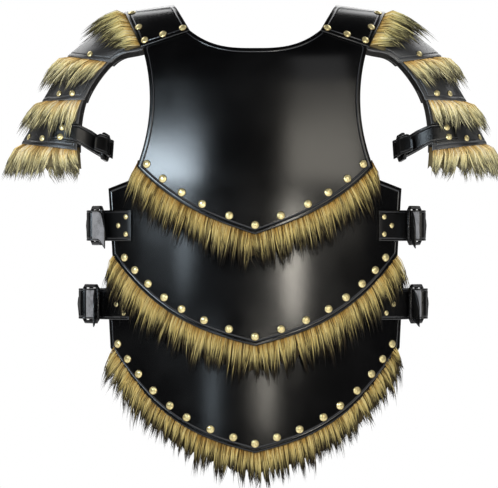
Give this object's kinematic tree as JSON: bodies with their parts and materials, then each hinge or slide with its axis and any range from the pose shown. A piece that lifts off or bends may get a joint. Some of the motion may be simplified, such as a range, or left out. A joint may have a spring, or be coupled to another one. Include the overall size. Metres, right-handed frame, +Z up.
{
  "type": "leather armour jacket",
  "caption": "Leather cuirass with pointed overlapping plates, shoulder and upper-arm lames, fur trim under every edge and buckled straps at the sides and arms.",
  "frame": {"origin": "midway between the shoulders, level with the crest on which the two yokes rest", "axes": "+Z up, the chest faces -Y, +X towards the right of the picture, which is the wearer's left"},
  "size_m": [0.6967, 0.2566, 0.6729],
  "materials": {
    "leather": "black semi-gloss",
    "strap_leather": "black, with a grey suede flesh side",
    "fur": "long pile, golden with black tips",
    "buckle_metal": "black plated"
  },
  "bodies": {
    "root": {"breastplate": "leather", "belly_lame": "leather", "hip_lame": "leather", "back_plate": "leather", "back_belly_lame": "leather", "back_hip_lame": "leather", "yoke_left": "leather", "yoke_right": "leather", "arm_lame_upper_left": "leather", "arm_lame_upper_right": "leather", "arm_lame_middle_left": "leather", "arm_lame_middle_right": "leather", "arm_lame_lower_left": "leather", "arm_lame_lower_right": "leather", "breast_fur": "fur", "belly_fur": "fur", "hip_fur": "fur", "back_fur": "fur", "back_belly_fur": "fur", "back_hip_fur": "fur", "yoke_fur_left": "fur", "yoke_fur_right": "fur", "arm_fur_upper_left": "fur", "arm_fur_upper_right": "fur", "arm_fur_middle_left": "fur", "arm_fur_middle_right": "fur", "arm_fur_lower_left": "fur", "arm_fur_lower_right": "fur", "side_strap_upper_left": "strap_leather", "side_strap_upper_right": "strap_leather", "side_strap_lower_left": "strap_leather", "side_strap_lower_right": "strap_leather", "back_strap_upper_left": "strap_leather", "back_strap_upper_right": "strap_leather", "back_strap_lower_left": "strap_leather", "back_strap_lower_right": "strap_leather", "arm_strap_left": "strap_leather", "arm_strap_right": "strap_leather", "arm_back_strap_left": "strap_leather", "arm_back_strap_right": "strap_leather", "side_buckle_upper_left": "buckle_metal", "side_buckle_upper_right": "buckle_metal", "side_buckle_lower_left": "buckle_metal", "side_buckle_lower_right": "buckle_metal", "arm_buckle_left": "buckle_metal", "arm_buckle_right": "buckle_metal"}
  },
  "joints": []
}
